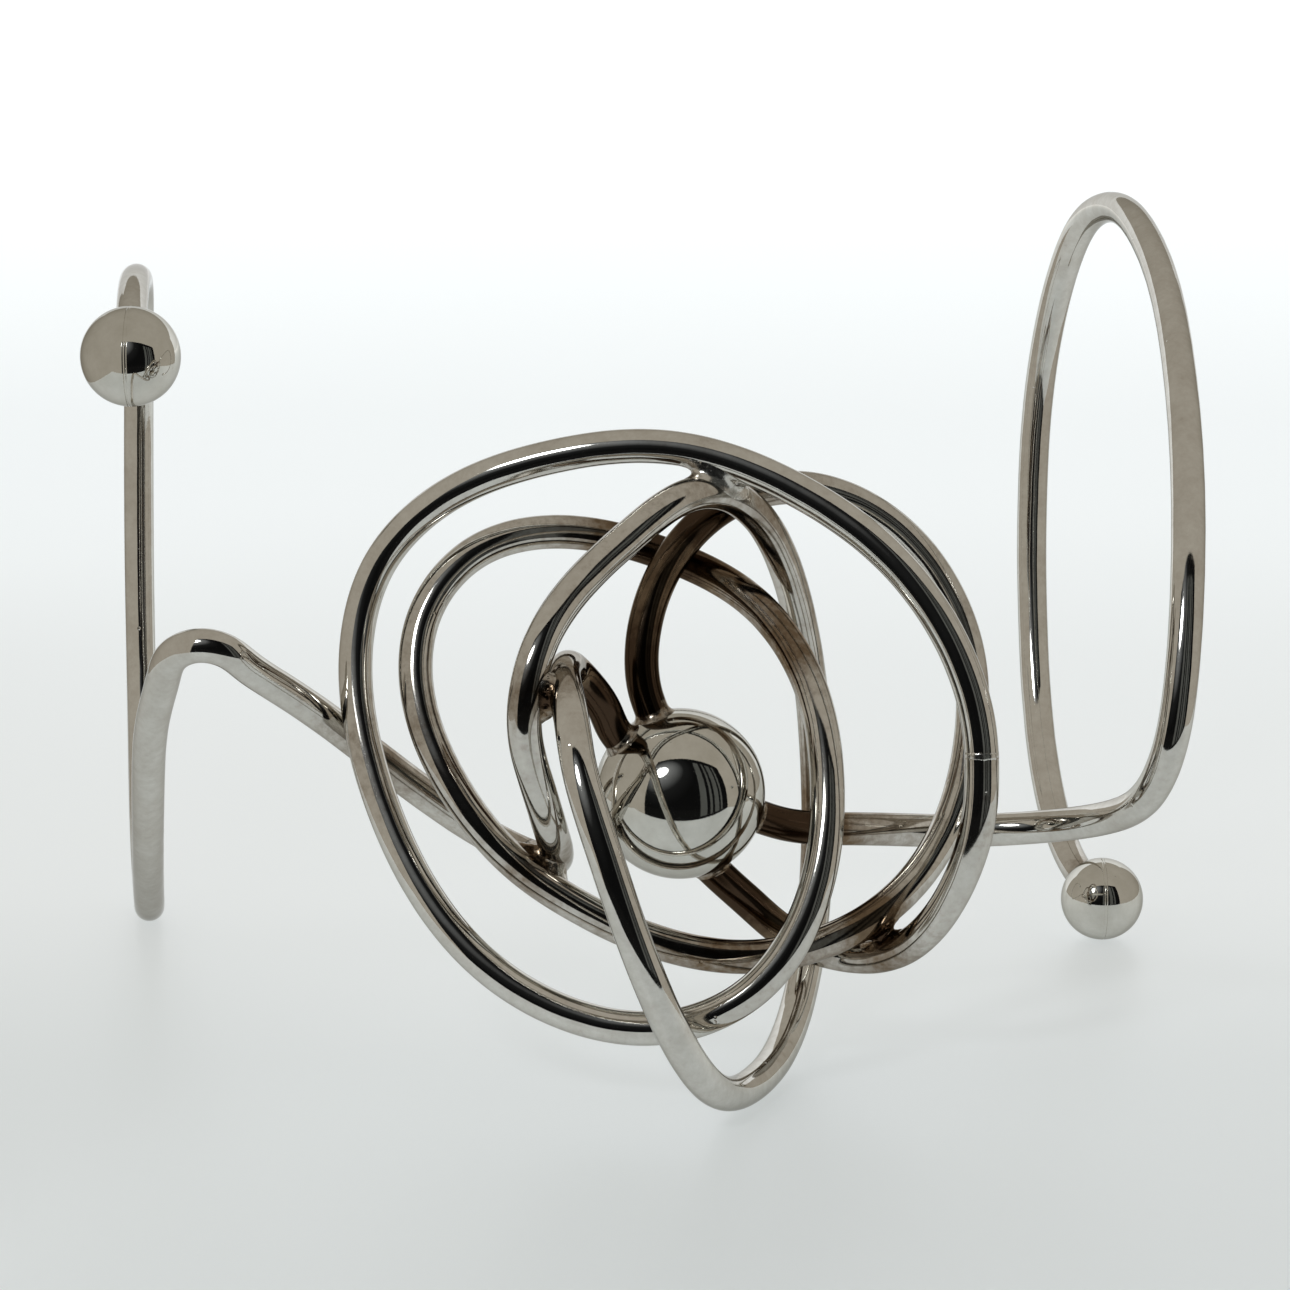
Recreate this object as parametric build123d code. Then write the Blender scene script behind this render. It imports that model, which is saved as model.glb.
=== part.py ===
from build123d import *
import os

# A sculptural arm cuff bent from round silver wire, in millimetres, +Z up.
# The origin is at the bottom centre of the whole object. +X runs along the
# arm that wears it and +Y points away from the front, where the orbits are.
# The cuff stands free on three points: the underside of the tall orbit, the
# underside of the left loop and the right ball.

# Driving dimensions
WIRE_DIAMETER = 3.0
CENTRE_BALL_DIAMETER = 15.0
LEFT_BALL_DIAMETER = 9.4
RIGHT_BALL_DIAMETER = 8.0
BALL_WALL = 0.8
SEAM_WIDTH = 0.3          # solder between the two half shells of a ball
VENT_DIAMETER = 1.2       # lets hot gas out of a closed ball while it is soldered
BUTT_SEAM_WIDTH = 0.3     # solder between two wire ends
BUTT_PROUD = 0.03
COLLAR_DIAMETER = 4.8     # cone of solder where a wire meets the centre ball
END_COLLAR_DIAMETER = 4.4 # cone of solder where a wire enters an end ball
COLLAR_LENGTH = 3.0       # half of it lies inside the ball and is cut away
COLLAR_EDGE = 0.1         # how thick the cone still is at its thin end

WIRE_RADIUS = WIRE_DIAMETER / 2

CENTRE_BALL = Vector(4.85, -22.0, 25.12)
LEFT_BALL = Vector(-46.3, 10.3, 58.5)
RIGHT_BALL = Vector(46.5, 15.4, RIGHT_BALL_DIAMETER / 2)

# Where one length of wire is soldered end to end to the next, and the
# direction that both have there.
CORNER_JOINT = Vector(-8.5, -14.5, 17.2)
CORNER_DIRECTION = Vector(0.68, -0.73, -0.04)
SIDE_JOINT = Vector(30.8, -27.2, 30.0)
SIDE_DIRECTION = Vector(-0.04, 0.14, 0.99)
HIDDEN_JOINT = Vector(3.5, -11.3, 44.3)
HIDDEN_DIRECTION = Vector(-0.94, 0.10, 0.33)

# The beads of solder that fill the valley where two wires touch: the middle of
# each, the direction it runs in, its length over its ends and its radius.
TOP_BEAD = (Vector(8.2, -18.4, 52.6), Vector(0.93, 0.10, -0.30), 6.2, 1.4)
HOOK_BEAD = (Vector(-6.6, -32.3, 37.3), Vector(0.10, -0.20, 1.0), 4.4, 1.3)
CORNER_BEAD = (Vector(-7.6, -24.3, 19.1), Vector(0.80, 0.0, -0.60), 4.0, 1.5)
LOWER_BEAD = (Vector(22.6, -22.6, 12.3), Vector(0.75, -0.15, 0.50), 3.8, 1.35)

# The routes: points that the middle of each wire passes through.
LEFT_CUFF_ROUTE = [
    (-46.6, 13.4, 60.2), (-47.6, 24.5, 62.8), (-48.6, 36.0, 61.2), (-49.5, 42.2, 54.3),
    (-50.0, 43.5, 43.0), (-50.1, 41.7, 28.5), (-49.7, 37.4, 14.2), (-48.9, 30.8, 4.7),
    (-47.7, 22.9, 1.5), (-46.3, 12.0, 5.8), (-44.6, -0.9, 14.6), (-43.1, -10.9, 23.8),
    (-41.7, -17.4, 30.8), (-40.2, -21.3, 35.5), (-38.6, -23.7, 38.3), (-36.6, -24.3, 39.0),
    (-34.6, -24.0, 38.5), (-32.8, -22.7, 36.8), (-30.2, -20.8, 34.4), (-25.5, -17.6, 30.0),
    (-18.5, -14.1, 23.3), (-13.2, -12.7, 19.1), (-10.6, -13.0, 17.7), CORNER_JOINT,
]
TALL_ORBIT_ROUTE = [
    CORNER_JOINT, (-6.8, -17.4, 17.6), (-6.0, -21.4, 19.2), (-6.2, -26.3, 22.4),
    (-7.5, -31.2, 28.8), (-8.4, -33.1, 34.2), (-7.7, -32.5, 39.2), (-4.4, -28.4, 44.6),
    (0.9, -23.8, 48.9), (5.7, -20.1, 51.4), (8.5, -17.9, 51.1), (11.2, -15.5, 49.1),
    (14.3, -12.3, 43.2), (16.5, -9.8, 33.6), (17.5, -9.9, 19.2), (17.0, -12.6, 10.6),
    (15.5, -18.2, 4.4), (12.0, -29.3, 1.55), (9.3, -35.3, 2.1), (7.0, -39.6, 4.6),
    (4.8, -41.8, 8.6), (1.6, -43.3, 16.4), (-1.8, -42.2, 26.3), (-3.7, -39.2, 32.3),
    (-4.6, -34.7, 36.3), (-5.1, -30.9, 37.9), (-4.9, -28.4, 38.0), (-4.3, -26.1, 37.2),
    (-3.0, -25.2, 35.5), (-1.7, -24.4, 33.3), (-1.0, -23.7, 31.5), (1.2, -22.6, 28.6),
]
RIGHT_CUFF_ROUTE = [
    (9.5, -21.2, 23.8), (14.5, -18.0, 21.1), (21.0, -14.4, 19.7), (29.0, -11.2, 18.6),
    (37.0, -12.2, 19.2), (43.0, -17.0, 21.5), (46.0, -22.2, 25.2), (47.4, -24.3, 30.0),
    (48.3, -23.6, 36.0), (49.0, -20.4, 43.0), (49.6, -14.0, 51.5), (49.9, -3.6, 59.8),
    (49.7, 9.0, 66.1), (48.8, 19.1, 69.3), (47.1, 29.6, 70.0), (45.2, 36.3, 67.3),
    (43.4, 40.7, 60.4), (41.9, 43.0, 49.0), (41.4, 42.0, 36.5), (41.5, 38.2, 24.0),
    (42.1, 32.4, 14.0), (43.1, 26.8, 8.5), (44.4, 21.2, 5.6), (45.6, 17.4, 4.5),
]
STEM_ROUTE = [
    (6.1, -22.0, 19.9), (9.0, -21.0, 16.7), (11.1, -20.4, 14.6), (13.5, -20.0, 12.3),
    (16.4, -19.9, 10.5), (19.4, -20.2, 9.7), (22.4, -21.8, 10.1), (26.2, -25.1, 13.2),
    (29.3, -27.4, 19.3), (30.7, -27.8, 25.2), SIDE_JOINT,
]
OUTER_ORBIT_ROUTE = [
    SIDE_JOINT, (28.5, -25.5, 38.9), (22.9, -22.8, 46.5), (14.8, -20.0, 51.9),
    (4.4, -17.8, 55.1), (-6.6, -16.9, 54.1), (-16.4, -15.8, 49.9), (-21.7, -15.5, 44.1),
    (-23.7, -17.3, 36.6), (-22.8, -20.8, 29.2), (-20.0, -24.6, 21.9), (-14.0, -29.0, 13.6),
    (-5.1, -31.8, 8.2), (4.4, -32.9, 7.4), (11.4, -32.7, 10.8), (16.0, -30.9, 17.6),
    (17.6, -26.4, 26.6), (16.2, -20.4, 34.5), (11.3, -14.7, 40.7), HIDDEN_JOINT,
]
INNER_ORBIT_ROUTE = [
    HIDDEN_JOINT, (-4.9, -12.0, 46.4), (-13.1, -14.8, 45.2), (-17.6, -17.7, 40.1),
    (-18.1, -20.8, 33.9), (-15.2, -24.0, 26.8), (-8.3, -25.7, 18.8), (-3.9, -25.9, 15.9),
    (0.9, -26.0, 13.5), (10.6, -25.7, 11.3), (19.8, -23.6, 13.0), (26.8, -18.9, 17.7), (30.7, -13.0, 25.4),
    (31.0, -9.3, 34.4), (26.5, -8.6, 43.8), (18.1, -9.3, 49.5), (14.4, -10.3, 50.1),
    (10.7, -11.6, 49.6), (4.9, -15.7, 45.9), (1.9, -19.6, 40.2), (1.5, -20.8, 36.7),
    (1.9, -21.5, 33.9), (2.6, -21.9, 32.0), (3.3, -22.2, 30.0),
]


def mirrored(direction, step):
    """The direction at the other end of an arc whose chord is step."""
    chord = step.normalized()
    return chord * (2 * direction.dot(chord)) - direction


def directions(points, first=None, last=None):
    """The wire's direction at each point: that of the circle through it and its two neighbours."""
    steps = [b - a for a, b in zip(points, points[1:])]
    inner = []
    for before, after in zip(steps, steps[1:]):
        inner.append((before / before.length**2 + after / after.length**2).normalized())
    if first is None:
        first = mirrored(inner[0], steps[0])
    if last is None:
        last = mirrored(inner[-1], steps[-1])
    return [first.normalized()] + inner + [last.normalized()]


def two_arcs(start, end, leaving, arriving):
    """Two arcs, tangent to each other, that join two points in the given directions."""
    chord = end - start
    spread = 2 * (1 - leaving.dot(arriving))
    along = chord.dot(leaving + arriving)
    reach = ((along**2 + spread * chord.length**2) ** 0.5 - along) / spread
    first_corner = start + leaving * reach
    second_corner = end - arriving * reach
    middle = (first_corner + second_corner) * 0.5
    return [
        TangentArc(start, middle, tangent=leaving),
        TangentArc(middle, end, tangent=second_corner - first_corner),
    ]


def tube(route, first=None, last=None, radius=WIRE_RADIUS):
    """A round wire along a route, as a chain of tangent arcs."""
    points = [Vector(point) for point in route]
    way = directions(points, first, last)
    arcs = []
    for start, end, leaving, arriving in zip(points, points[1:], way, way[1:]):
        arcs += two_arcs(start, end, leaving, arriving)
    path = Wire(arcs)
    section = Plane(origin=points[0], z_dir=way[0]) * Circle(radius)
    return sweep(section, path=path)


def ball(centre, diameter):
    """A solid ball, turned so that no cut runs along the seam of its own surface."""
    return Pos(*centre) * Rot(20, 30, 0) * Sphere(diameter / 2)


def rod(centre, direction, length, radius):
    """A cylinder about the middle point centre, along direction."""
    return Plane(origin=centre, z_dir=direction) * Cylinder(radius, length)


def bead(centre, direction, length, radius):
    """A run of solder: a rounded rod, length long over its ends."""
    half = direction.normalized() * (length / 2 - radius)
    body = rod(centre, direction, length - 2 * radius, radius)
    return body + ball(centre + half, 2 * radius) + ball(centre - half, 2 * radius)


def half_shells(centre, diameter, split, cuts):
    """Two half shells of a hollow ball and the solder in the seam between them."""
    inside = diameter - 2 * BALL_WALL
    hollow = ball(centre, diameter) - ball(centre, inside)
    for cut in cuts:
        hollow = hollow - cut
    slab = Plane(origin=centre, z_dir=split) * Box(2 * diameter, 2 * diameter, SEAM_WIDTH)
    far = Plane(origin=centre + split * diameter, z_dir=split) * Box(3 * diameter, 3 * diameter, 2 * diameter)
    near = Plane(origin=centre - split * diameter, z_dir=split) * Box(3 * diameter, 3 * diameter, 2 * diameter)
    return (hollow & far) - slab, (hollow & near) - slab, hollow & slab


def entry(route, centre, diameter):
    """Where a route's first run, from inside a ball, comes out through its surface."""
    inside = Vector(route[0]) - centre
    run = Vector(route[1]) - Vector(route[0])
    along = inside.dot(run)
    reach = along**2 - run.length**2 * (inside.length**2 - (diameter / 2) ** 2)
    return Vector(route[0]) + run * ((reach**0.5 - along) / run.length**2)


def butt_seam(joint, direction):
    """The thin disc of solder between two wire ends."""
    return rod(joint, direction, BUTT_SEAM_WIDTH, WIRE_RADIUS + BUTT_PROUD)


def make_seams():
    return {
        "side_seam_solder": butt_seam(SIDE_JOINT, SIDE_DIRECTION),
        "hidden_seam_solder": butt_seam(HIDDEN_JOINT, HIDDEN_DIRECTION),
    }


def make_wires(seam):
    """The six lengths of wire, each cut off where it meets the centre ball or a butt seam."""
    solid_ball = ball(CENTRE_BALL, CENTRE_BALL_DIAMETER)
    side = seam["side_seam_solder"]
    hidden = seam["hidden_seam_solder"]
    return {
        "left_cuff_wire": tube(LEFT_CUFF_ROUTE, last=CORNER_DIRECTION),
        "tall_orbit_wire": tube(TALL_ORBIT_ROUTE, first=CORNER_DIRECTION) - solid_ball,
        "right_cuff_wire": tube(RIGHT_CUFF_ROUTE) - solid_ball,
        "stem_wire": tube(STEM_ROUTE, last=SIDE_DIRECTION) - solid_ball - side,
        "outer_orbit_wire": tube(OUTER_ORBIT_ROUTE, SIDE_DIRECTION, HIDDEN_DIRECTION) - side - hidden,
        "inner_orbit_wire": tube(INNER_ORBIT_ROUTE, first=HIDDEN_DIRECTION) - solid_ball - hidden,
    }


def make_balls(wire):
    """The three hollow balls, each as two half shells and the solder of their seam."""
    vent_place = CENTRE_BALL + Vector(0, CENTRE_BALL_DIAMETER / 2, 0)
    vent = rod(vent_place, Vector(0, 1, 0), 4 * BALL_WALL, VENT_DIAMETER / 2)
    across = Vector(1, 0, 0)
    centre = half_shells(CENTRE_BALL, CENTRE_BALL_DIAMETER, Vector(0, 1, 0), [vent])
    left = half_shells(LEFT_BALL, LEFT_BALL_DIAMETER, across, [wire["left_cuff_wire"]])
    right = half_shells(RIGHT_BALL, RIGHT_BALL_DIAMETER, across, [wire["right_cuff_wire"]])
    return {
        "centre_ball_rear_shell": centre[0],
        "centre_ball_front_shell": centre[1],
        "centre_ball_seam_solder": centre[2],
        "left_ball_inner_shell": left[0],
        "left_ball_outer_shell": left[1],
        "left_ball_seam_solder": left[2],
        "right_ball_outer_shell": right[0],
        "right_ball_inner_shell": right[1],
        "right_ball_seam_solder": right[2],
    }


def make_fillers(wire):
    """The beads that fill the valley where two wires touch."""
    tall = wire["tall_orbit_wire"]
    outer = wire["outer_orbit_wire"]
    inner = wire["inner_orbit_wire"]
    stem = wire["stem_wire"]
    left = wire["left_cuff_wire"]
    return {
        "top_solder": bead(*TOP_BEAD) - tall - outer,
        "hook_solder": bead(*HOOK_BEAD) - tall,
        "corner_solder": bead(*CORNER_BEAD) - tall - inner - left,
        "lower_solder": bead(*LOWER_BEAD) - inner - stem,
    }


def make_collars(wire):
    """The cones of solder round each wire where it meets a ball."""
    places = [
        ("hook_end_solder", TALL_ORBIT_ROUTE[::-1], CENTRE_BALL, CENTRE_BALL_DIAMETER),
        ("orbit_end_solder", INNER_ORBIT_ROUTE[::-1], CENTRE_BALL, CENTRE_BALL_DIAMETER),
        ("stem_end_solder", STEM_ROUTE, CENTRE_BALL, CENTRE_BALL_DIAMETER),
        ("right_arm_solder", RIGHT_CUFF_ROUTE, CENTRE_BALL, CENTRE_BALL_DIAMETER),
        ("left_ball_solder", LEFT_CUFF_ROUTE, LEFT_BALL, LEFT_BALL_DIAMETER),
        ("right_ball_solder", RIGHT_CUFF_ROUTE[::-1], RIGHT_BALL, RIGHT_BALL_DIAMETER),
    ]
    collars = {}
    for name, route, centre, diameter in places:
        size = COLLAR_DIAMETER if centre is CENTRE_BALL else END_COLLAR_DIAMETER
        run = Vector(route[1]) - Vector(route[0])
        place = Plane(origin=entry(route, centre, diameter), z_dir=run)
        collar = place * Cone(size / 2, WIRE_RADIUS + COLLAR_EDGE, COLLAR_LENGTH) - ball(centre, diameter)
        for taken in [*wire.values(), *collars.values()]:
            collar = collar - taken
        collars[name] = collar
    return collars


def main():
    seam = make_seams()
    wire = make_wires(seam)
    pieces = {**wire, **make_balls(wire), **make_fillers(wire), **seam, **make_collars(wire)}
    os.makedirs("parts", exist_ok=True)
    for name, piece in pieces.items():
        piece.label = name
        export_step(piece, f"parts/{name}.step")


main()
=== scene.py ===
import math
import random

import bpy
import numpy as np
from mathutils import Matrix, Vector, noise


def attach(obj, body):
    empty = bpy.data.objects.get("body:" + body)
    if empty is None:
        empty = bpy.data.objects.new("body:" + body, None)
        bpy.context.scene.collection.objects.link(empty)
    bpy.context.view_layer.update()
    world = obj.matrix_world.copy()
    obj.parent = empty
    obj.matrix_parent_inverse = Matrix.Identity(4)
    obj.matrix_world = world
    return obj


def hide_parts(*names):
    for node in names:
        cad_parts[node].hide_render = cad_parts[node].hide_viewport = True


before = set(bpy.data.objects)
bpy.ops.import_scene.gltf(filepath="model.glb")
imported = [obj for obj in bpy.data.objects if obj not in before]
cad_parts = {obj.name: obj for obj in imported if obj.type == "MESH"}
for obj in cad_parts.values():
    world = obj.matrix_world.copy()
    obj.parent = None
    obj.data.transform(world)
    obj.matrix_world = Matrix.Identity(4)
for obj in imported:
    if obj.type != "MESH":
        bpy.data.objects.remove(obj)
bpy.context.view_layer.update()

# Everything is in metres, in the part's own frame: +X along the arm, +Y away
# from the front, +Z up, and the floor at z = 0. Sizes are written in
# millimetres and turned into metres with MM.
MM = 0.001

WIRE_RADIUS = 1.5 * MM
BALL_WALL = 0.8 * MM
SEAM_WIDTH = 0.3 * MM
VENT_RADIUS = 0.6 * MM

WIRE_SIDES = 40            # faces round a wire
WIRE_STEP = 0.3 * MM       # length of a face along a wire
FIELD_CELL = 0.13 * MM     # grid that the solder's shape is found on
BALL_SIDES = 144           # faces round a half shell
SEAM_SIDES = 240           # faces round the seam of a ball
BUTT_SIDES = 64            # faces round a butt seam
BALL_WAVE_LENGTH = 3.1 * MM
BALL_WAVE_HEIGHT = 0.006 * MM
BUTT_PROUD = 0.012 * MM    # how far a butt seam stands above the wire
BUTT_SUNK = 0.020 * MM     # how far its edges lie under the wire's surface
BUTT_ROUNDING = 0.008 * MM
BUTT_ROUGHNESS = 0.012 * MM

CENTRE_BALL = (4.85, -22.0, 25.12)
LEFT_BALL = (-46.3, 10.3, 58.5)
RIGHT_BALL = (46.5, 15.4, 4.0)
CENTRE_BALL_RADIUS = 7.5 * MM
LEFT_BALL_RADIUS = 4.7 * MM
RIGHT_BALL_RADIUS = 4.0 * MM

CORNER_JOINT = (-8.5, -14.5, 17.2)
CORNER_DIRECTION = (0.68, -0.73, -0.04)
SIDE_JOINT = (30.8, -27.2, 30.0)
SIDE_DIRECTION = (-0.04, 0.14, 0.99)
HIDDEN_JOINT = (3.5, -11.3, 44.3)
HIDDEN_DIRECTION = (-0.94, 0.10, 0.33)

# The routes: the same points, in millimetres, that part.py gives each wire.
LEFT_CUFF_ROUTE = [
    (-46.6, 13.4, 60.2), (-47.6, 24.5, 62.8), (-48.6, 36.0, 61.2), (-49.5, 42.2, 54.3),
    (-50.0, 43.5, 43.0), (-50.1, 41.7, 28.5), (-49.7, 37.4, 14.2), (-48.9, 30.8, 4.7),
    (-47.7, 22.9, 1.5), (-46.3, 12.0, 5.8), (-44.6, -0.9, 14.6), (-43.1, -10.9, 23.8),
    (-41.7, -17.4, 30.8), (-40.2, -21.3, 35.5), (-38.6, -23.7, 38.3), (-36.6, -24.3, 39.0),
    (-34.6, -24.0, 38.5), (-32.8, -22.7, 36.8), (-30.2, -20.8, 34.4), (-25.5, -17.6, 30.0),
    (-18.5, -14.1, 23.3), (-13.2, -12.7, 19.1), (-10.6, -13.0, 17.7), CORNER_JOINT,
]
TALL_ORBIT_ROUTE = [
    CORNER_JOINT, (-6.8, -17.4, 17.6), (-6.0, -21.4, 19.2), (-6.2, -26.3, 22.4),
    (-7.5, -31.2, 28.8), (-8.4, -33.1, 34.2), (-7.7, -32.5, 39.2), (-4.4, -28.4, 44.6),
    (0.9, -23.8, 48.9), (5.7, -20.1, 51.4), (8.5, -17.9, 51.1), (11.2, -15.5, 49.1),
    (14.3, -12.3, 43.2), (16.5, -9.8, 33.6), (17.5, -9.9, 19.2), (17.0, -12.6, 10.6),
    (15.5, -18.2, 4.4), (12.0, -29.3, 1.55), (9.3, -35.3, 2.1), (7.0, -39.6, 4.6),
    (4.8, -41.8, 8.6), (1.6, -43.3, 16.4), (-1.8, -42.2, 26.3), (-3.7, -39.2, 32.3),
    (-4.6, -34.7, 36.3), (-5.1, -30.9, 37.9), (-4.9, -28.4, 38.0), (-4.3, -26.1, 37.2),
    (-3.0, -25.2, 35.5), (-1.7, -24.4, 33.3), (-1.0, -23.7, 31.5), (1.2, -22.6, 28.6),
]
RIGHT_CUFF_ROUTE = [
    (9.5, -21.2, 23.8), (14.5, -18.0, 21.1), (21.0, -14.4, 19.7), (29.0, -11.2, 18.6),
    (37.0, -12.2, 19.2), (43.0, -17.0, 21.5), (46.0, -22.2, 25.2), (47.4, -24.3, 30.0),
    (48.3, -23.6, 36.0), (49.0, -20.4, 43.0), (49.6, -14.0, 51.5), (49.9, -3.6, 59.8),
    (49.7, 9.0, 66.1), (48.8, 19.1, 69.3), (47.1, 29.6, 70.0), (45.2, 36.3, 67.3),
    (43.4, 40.7, 60.4), (41.9, 43.0, 49.0), (41.4, 42.0, 36.5), (41.5, 38.2, 24.0),
    (42.1, 32.4, 14.0), (43.1, 26.8, 8.5), (44.4, 21.2, 5.6), (45.6, 17.4, 4.5),
]
STEM_ROUTE = [
    (6.1, -22.0, 19.9), (9.0, -21.0, 16.7), (11.1, -20.4, 14.6), (13.5, -20.0, 12.3),
    (16.4, -19.9, 10.5), (19.4, -20.2, 9.7), (22.4, -21.8, 10.1), (26.2, -25.1, 13.2),
    (29.3, -27.4, 19.3), (30.7, -27.8, 25.2), SIDE_JOINT,
]
OUTER_ORBIT_ROUTE = [
    SIDE_JOINT, (28.5, -25.5, 38.9), (22.9, -22.8, 46.5), (14.8, -20.0, 51.9),
    (4.4, -17.8, 55.1), (-6.6, -16.9, 54.1), (-16.4, -15.8, 49.9), (-21.7, -15.5, 44.1),
    (-23.7, -17.3, 36.6), (-22.8, -20.8, 29.2), (-20.0, -24.6, 21.9), (-14.0, -29.0, 13.6),
    (-5.1, -31.8, 8.2), (4.4, -32.9, 7.4), (11.4, -32.7, 10.8), (16.0, -30.9, 17.6),
    (17.6, -26.4, 26.6), (16.2, -20.4, 34.5), (11.3, -14.7, 40.7), HIDDEN_JOINT,
]
INNER_ORBIT_ROUTE = [
    HIDDEN_JOINT, (-4.9, -12.0, 46.4), (-13.1, -14.8, 45.2), (-17.6, -17.7, 40.1),
    (-18.1, -20.8, 33.9), (-15.2, -24.0, 26.8), (-8.3, -25.7, 18.8), (-3.9, -25.9, 15.9),
    (0.9, -26.0, 13.5), (10.6, -25.7, 11.3), (19.8, -23.6, 13.0), (26.8, -18.9, 17.7),
    (30.7, -13.0, 25.4), (31.0, -9.3, 34.4), (26.5, -8.6, 43.8), (18.1, -9.3, 49.5),
    (14.4, -10.3, 50.1), (10.7, -11.6, 49.6), (4.9, -15.7, 45.9), (1.9, -19.6, 40.2),
    (1.5, -20.8, 36.7), (1.9, -21.5, 33.9), (2.6, -21.9, 32.0), (3.3, -22.2, 30.0),
]

# name: route, direction at its start, direction at its end, how tarnished it is
WIRES = {
    "left_cuff_wire": (LEFT_CUFF_ROUTE, None, CORNER_DIRECTION, 0.12),
    "tall_orbit_wire": (TALL_ORBIT_ROUTE, CORNER_DIRECTION, None, 0.14),
    "right_cuff_wire": (RIGHT_CUFF_ROUTE, None, None, 0.14),
    "stem_wire": (STEM_ROUTE, None, SIDE_DIRECTION, 0.22),
    "outer_orbit_wire": (OUTER_ORBIT_ROUTE, SIDE_DIRECTION, HIDDEN_DIRECTION, 0.12),
    "inner_orbit_wire": (INNER_ORBIT_ROUTE, HIDDEN_DIRECTION, None, 0.24),
}


# ---------------------------------------------------------------- meshes

def add_object(name, points, faces, material, replaced):
    """A smooth shaded mesh that stands for a CAD node and rides on the one body."""
    mesh = bpy.data.meshes.new(name)
    mesh.from_pydata([tuple(p) for p in points], [], faces)
    mesh.validate()
    mesh.shade_smooth()
    mesh.materials.append(material)
    piece = bpy.data.objects.new(name, mesh)
    bpy.context.scene.collection.objects.link(piece)
    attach(piece, "root")
    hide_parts(replaced)
    return piece


def add_values(piece, name, values):
    """One number for each point of the mesh, for its material to read."""
    attribute = piece.data.attributes.new(name, "FLOAT", "POINT")
    attribute.data.foreach_set("value", np.asarray(values, np.float32).ravel())


def unit(vector):
    vector = np.asarray(vector, float)
    return vector / np.linalg.norm(vector)


# ---------------------------------------------------------------- wires

def slopes(points, spans, first, last):
    """The direction of a smooth cubic spline at each of its points."""
    count = len(points)
    rises = (points[1:] - points[:-1]) / spans[:, None]
    matrix = np.zeros((count, count))
    right = np.zeros((count, 3))
    for i in range(1, count - 1):
        matrix[i, i - 1] = spans[i]
        matrix[i, i] = 2 * (spans[i - 1] + spans[i])
        matrix[i, i + 1] = spans[i - 1]
        right[i] = 3 * (spans[i] * rises[i - 1] + spans[i - 1] * rises[i])
    matrix[0, 0] = matrix[-1, -1] = 1.0
    if first is None:
        matrix[0, 1] = 0.5
        right[0] = 1.5 * rises[0]
    else:
        right[0] = unit(first)
    if last is None:
        matrix[-1, -2] = 0.5
        right[-1] = 1.5 * rises[-1]
    else:
        right[-1] = unit(last)
    return np.linalg.solve(matrix, right)


def centreline(route, first, last, step):
    """Points and directions at an even spacing along the spline through a route."""
    points = np.array(route, float) * MM
    spans = np.linalg.norm(points[1:] - points[:-1], axis=1)
    way = slopes(points, spans, first, last)
    fine = np.linspace(0, 1, 60, endpoint=False)
    places, ways = [], []
    for i, span in enumerate(spans):
        t = fine[:, None]
        a, b = points[i], points[i + 1]
        m, n = way[i] * span, way[i + 1] * span
        places.append(
            (2 * t**3 - 3 * t**2 + 1) * a + (t**3 - 2 * t**2 + t) * m
            + (3 * t**2 - 2 * t**3) * b + (t**3 - t**2) * n
        )
        ways.append(
            (6 * t**2 - 6 * t) * a + (3 * t**2 - 4 * t + 1) * m
            + (6 * t - 6 * t**2) * b + (3 * t**2 - 2 * t) * n
        )
    places = np.vstack([*places, points[-1:]])
    ways = np.vstack([*ways, way[-1:]])
    along = np.concatenate([[0], np.cumsum(np.linalg.norm(np.diff(places, axis=0), axis=1))])
    even = np.linspace(0, along[-1], max(2, round(along[-1] / step) + 1))
    places = np.column_stack([np.interp(even, along, places[:, k]) for k in range(3)])
    ways = np.column_stack([np.interp(even, along, ways[:, k]) for k in range(3)])
    return places, ways / np.linalg.norm(ways, axis=1)[:, None], even


def frames(ways):
    """Two directions across the wire at each point, which turn no more than they must."""
    across = unit(np.cross(ways[0], (0.3, 0.2, 1.0)))
    rows = [across]
    for way in ways[1:]:
        across = unit(across - way * np.dot(across, way))
        rows.append(across)
    rows = np.array(rows)
    return rows, np.cross(ways, rows)


def hand_made(along, angle, seed):
    """How far the wire's surface stands from true round: long waves, and dents from the pliers."""
    chance = random.Random(seed)
    s = along[:, None] / MM
    a = angle[None, :]
    phase = [chance.uniform(0, 2 * math.pi) for _ in range(5)]
    bump = 0.010 * np.sin(2 * math.pi * s / 13.0 + phase[0]) * np.cos(a + phase[1])
    bump += 0.008 * np.cos(2 * a + 2 * math.pi * s / 31.0 + phase[2])
    bump += 0.004 * np.sin(2 * math.pi * s / 4.3 + phase[3]) * np.cos(2 * a + phase[4])
    for _ in range(int(s[-1, 0] / 9)):
        place = chance.uniform(0, s[-1, 0])
        side = chance.uniform(-math.pi, math.pi)
        long_side = chance.uniform(0.6, 2.2)
        depth = chance.uniform(0.006, 0.022)
        turn = np.angle(np.exp(1j * (a - side)))
        bump -= depth * np.exp(-((s - place) / long_side) ** 2 - (turn / 0.45) ** 2)
    return bump * MM


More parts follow.
